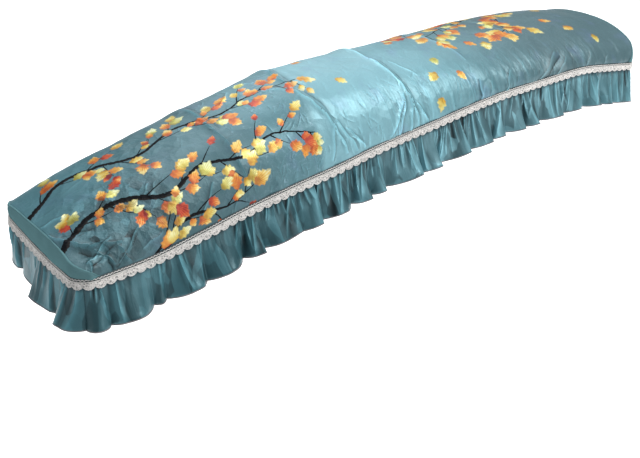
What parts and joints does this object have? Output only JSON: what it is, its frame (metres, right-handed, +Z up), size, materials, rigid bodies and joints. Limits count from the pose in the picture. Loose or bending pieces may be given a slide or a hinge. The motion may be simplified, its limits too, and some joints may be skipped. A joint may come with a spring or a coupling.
{
  "type": "guzheng dust cover",
  "caption": "Hollow draped cloth cover for a long zither: domed printed satin top with long sides, plain ends, scalloped lace trim and a gathered frill with an uneven hem.",
  "frame": {"origin": "underside of the top at mid-length and mid-width, where the instrument carries the cover", "axes": "+X along the cover from the low tail end to the arched head end, +Y from the front side to the back side, +Z up"},
  "size_m": [1.7426, 0.4944, 0.3484],
  "materials": {
    "printed_satin": "glossy teal satin with a printed spray of dark twigs and warm autumn leaves",
    "plain_satin": "glossy plain teal satin",
    "lace": "cream net lace with a scalloped edge and a picot heading"
  },
  "bodies": {
    "root": {"top_panel": "printed_satin", "end_panel_tail": "plain_satin", "end_panel_head": "plain_satin", "lace_trim": "lace", "frill": "plain_satin"}
  },
  "joints": []
}
